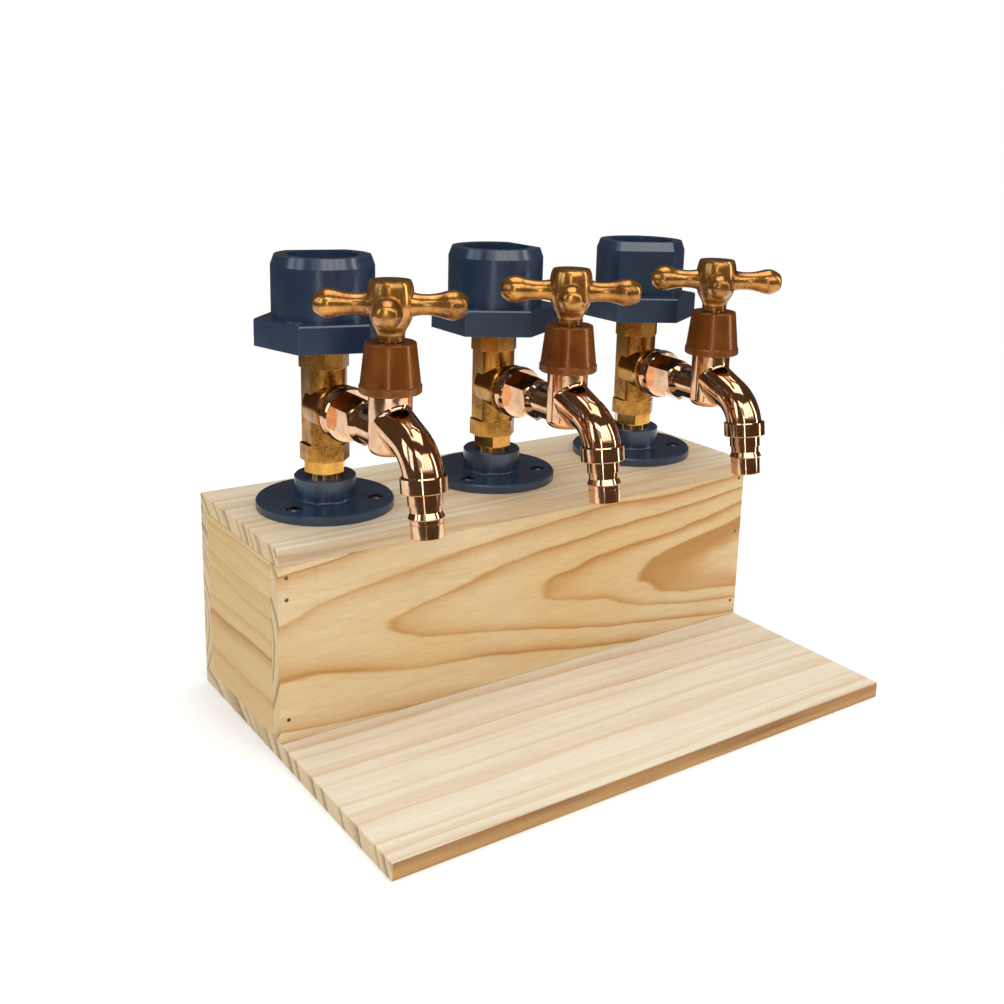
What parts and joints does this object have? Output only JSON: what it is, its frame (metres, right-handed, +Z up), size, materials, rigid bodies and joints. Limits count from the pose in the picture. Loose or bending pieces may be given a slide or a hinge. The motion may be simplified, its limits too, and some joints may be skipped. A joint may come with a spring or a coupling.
{
  "type": "tabletop bottle dispenser with taps",
  "caption": "Pine box with a glass shelf and a row of upturned-bottle sockets, each on a pipe stem with a cross-handled quarter-turn bib tap.",
  "frame": {"origin": "centre of the base board's underside, which is the centre of the object's footprint", "axes": "+Z up, +Y towards the back, +X to the right as seen by the person who pours; the taps face -Y"},
  "size_m": [0.33, 0.227, 0.2582],
  "materials": {
    "pine": "unfinished planed pine",
    "slate_plastic": "satin slate blue",
    "brass": "brushed, slightly aged",
    "rose_gold": "mirror polished rose gold plate",
    "copper_enamel": "semi-gloss copper brown",
    "bronze": "pearl antique bronze",
    "bronze_dark": "satin, darker",
    "black_steel": "black oxide",
    "nail_steel": "bright wire",
    "rubber": "black food-grade rubber",
    "ceramic": "lapped white ceramic"
  },
  "bodies": {
    "stand": {"back_panel": "pine", "base_board": "pine", "brad_nails": "nail_steel", "centre_bonnet_cover": "copper_enamel", "centre_bottle_seal": "rubber", "centre_bottle_socket": "slate_plastic", "centre_faucet_body": "rose_gold", "centre_fixed_disc": "ceramic", "centre_flange": "slate_plastic", "centre_headwork": "brass", "centre_hose_tail": "rose_gold", "centre_lower_nipple": "brass", "centre_spout_nut": "rose_gold", "centre_tee": "brass", "centre_upper_nipple": "brass", "flange_screws": "black_steel", "front_panel": "pine", "left_bonnet_cover": "copper_enamel", "left_bottle_seal": "rubber", "left_bottle_socket": "slate_plastic", "left_faucet_body": "rose_gold", "left_fixed_disc": "ceramic", "left_flange": "slate_plastic", "left_headwork": "brass", "left_hose_tail": "rose_gold", "left_lower_nipple": "brass", "left_side_panel": "pine", "left_spout_nut": "rose_gold", "left_tee": "brass", "left_upper_nipple": "brass", "right_bonnet_cover": "copper_enamel", "right_bottle_seal": "rubber", "right_bottle_socket": "slate_plastic", "right_faucet_body": "rose_gold", "right_fixed_disc": "ceramic", "right_flange": "slate_plastic", "right_headwork": "brass", "right_hose_tail": "rose_gold", "right_lower_nipple": "brass", "right_side_panel": "pine", "right_spout_nut": "rose_gold", "right_tee": "brass", "right_upper_nipple": "brass", "tail_washers": "rubber", "top_panel": "pine"},
    "centre_handle": {"centre_cross_handle": "bronze", "centre_handle_cap": "bronze_dark", "centre_handle_screw": "nail_steel", "centre_moving_disc": "ceramic", "centre_spindle": "brass"},
    "left_handle": {"left_cross_handle": "bronze", "left_handle_cap": "bronze_dark", "left_handle_screw": "nail_steel", "left_moving_disc": "ceramic", "left_spindle": "brass"},
    "right_handle": {"right_cross_handle": "bronze", "right_handle_cap": "bronze_dark", "right_handle_screw": "nail_steel", "right_moving_disc": "ceramic", "right_spindle": "brass"}
  },
  "joints": [
    {"name": "left_tap_turn", "type": "hinge", "parent": "stand", "child": "left_handle", "pos_m": [-0.112, -0.0155, 0.2415], "axis": [0, 0, 1], "range_deg": [0, 90]},
    {"name": "centre_tap_turn", "type": "hinge", "parent": "stand", "child": "centre_handle", "pos_m": [-0.00131, -0.01549, 0.2415], "axis": [0, 0, 1], "range_deg": [0, 90]},
    {"name": "right_tap_turn", "type": "hinge", "parent": "stand", "child": "right_handle", "pos_m": [0.10677, -0.01532, 0.2415], "axis": [0, 0, 1], "range_deg": [0, 90]}
  ]
}
